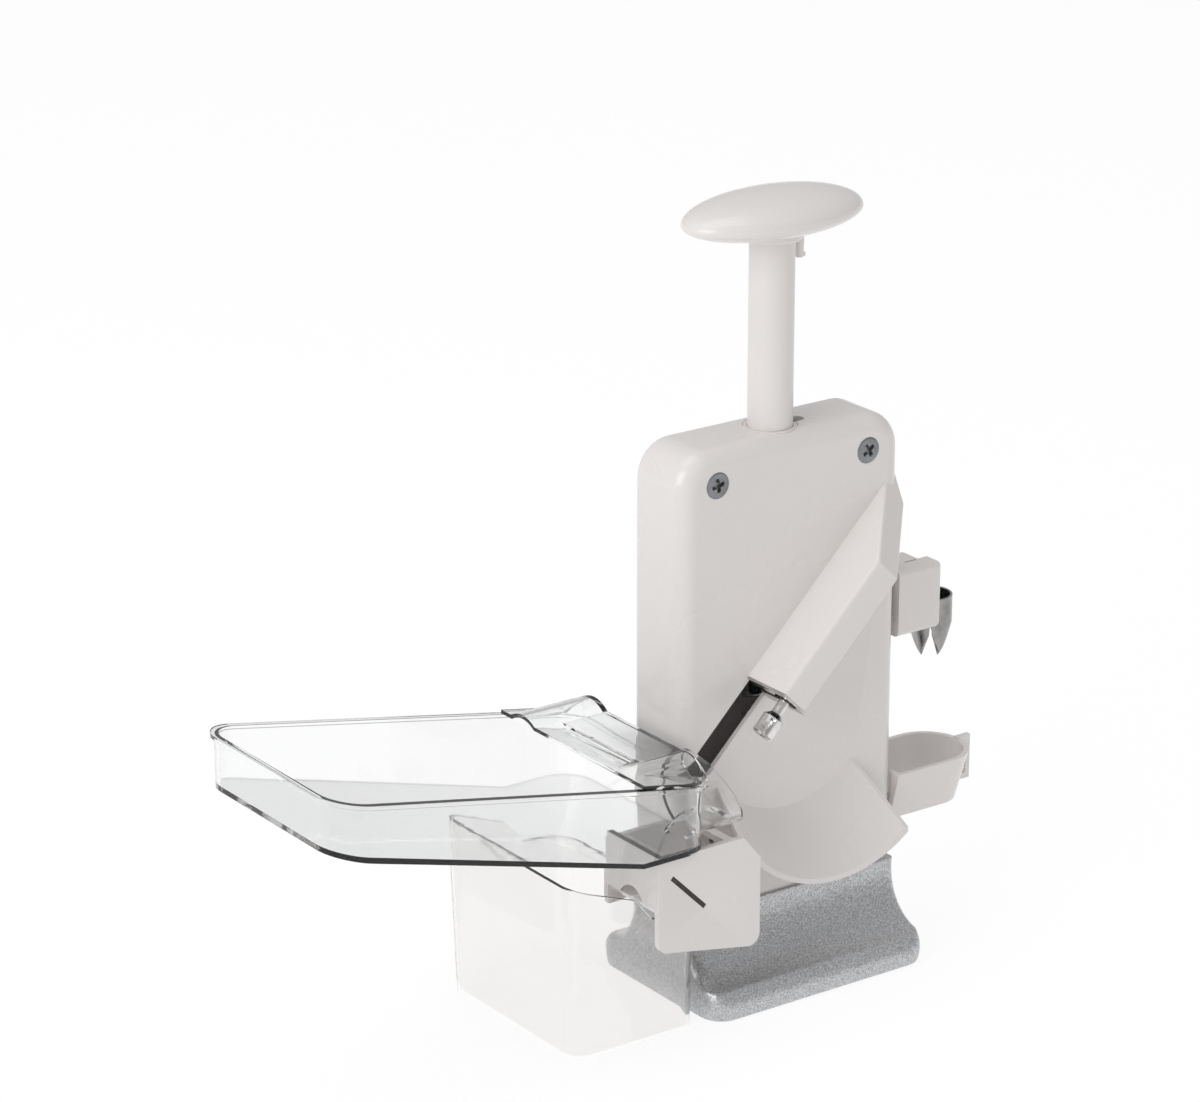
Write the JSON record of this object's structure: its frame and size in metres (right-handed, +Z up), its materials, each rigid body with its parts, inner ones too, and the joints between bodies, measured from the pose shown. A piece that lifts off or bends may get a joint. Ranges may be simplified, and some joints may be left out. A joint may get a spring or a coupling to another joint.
{
  "type": "lever cherry pitter",
  "caption": "Hand-press cherry and plum pitter: upright casing with push knob, diagonal pin under a hood, plum cutter, clear feed tray and clear pit box on a cast foot.",
  "frame": {"origin": "middle of the footprint of the whole object, on the table", "axes": "+X along the width of the casing, from the feed tray to the plum cutter; -Y to the front; +Z up"},
  "size_m": [0.32, 0.1038, 0.3046],
  "materials": {
    "white_plastic": "smooth moulded, slightly warm white",
    "hammered_silver": "hammered silver-grey lacquer",
    "black_rubber": "matt",
    "steel": "zinc plated",
    "grey_steel": "dull grey plated",
    "bright_steel": "polished stainless",
    "grey_plastic": "low-friction moulded",
    "dark_plastic": "dark moulded",
    "clear_plastic": "clear, glossy, faint grey-green in the edges"
  },
  "bodies": {
    "casing": {"base_foot": "hammered_silver", "rubber_feet": "black_rubber", "base_screws": "steel", "rear_shell": "white_plastic", "front_shell": "white_plastic", "case_screws": "grey_steel", "column_bush": "grey_plastic", "spring_guide_rod": "grey_plastic", "end_stop_bumper": "black_rubber", "return_spring": "steel", "stripper_plate": "steel", "stripper_screws": "steel", "plum_cup": "white_plastic", "plum_cup_screws": "steel", "cherry_holder": "white_plastic", "seat_membrane": "black_rubber", "holder_screws": "steel"},
    "plunger": {"plunger_column": "white_plastic", "column_cross_pin": "steel", "knob": "white_plastic", "carriage": "grey_plastic", "plum_block": "white_plastic", "plum_block_screw": "steel", "plum_cutter": "bright_steel"},
    "pin_slider": {"cherry_slider": "dark_plastic", "follower_pin": "steel", "follower_roller": "grey_plastic", "cherry_pin": "bright_steel", "pin_set_screw": "steel"},
    "feed_tray": {"cherry_tray": "clear_plastic", "tray_cover": "clear_plastic"},
    "pit_box": {"pit_container": "clear_plastic"}
  },
  "joints": [
    {"name": "plunger_press", "type": "slide", "parent": "casing", "child": "plunger", "axis": [0, 0, -1], "range_m": [0, 0.067], "stiffness_N_per_m": 150, "springref_m": -0.04, "deforming": ["return_spring"]},
    {"name": "pin_slide", "type": "slide", "parent": "casing", "child": "pin_slider", "axis": [-0.7071, 0, -0.7071], "range_m": [0, 0.0574]},
    {"name": "tray_lift", "type": "slide", "parent": "casing", "child": "feed_tray", "axis": [0, 0, 1], "range_m": [0, 0.04]},
    {"name": "pit_box_pull", "type": "slide", "parent": "casing", "child": "pit_box", "axis": [-1, 0, 0], "range_m": [0, 0.06]}
  ],
  "couplings": [
    {"joint": "pin_slide", "follows": "plunger_press", "ratio": 0.85671}
  ]
}
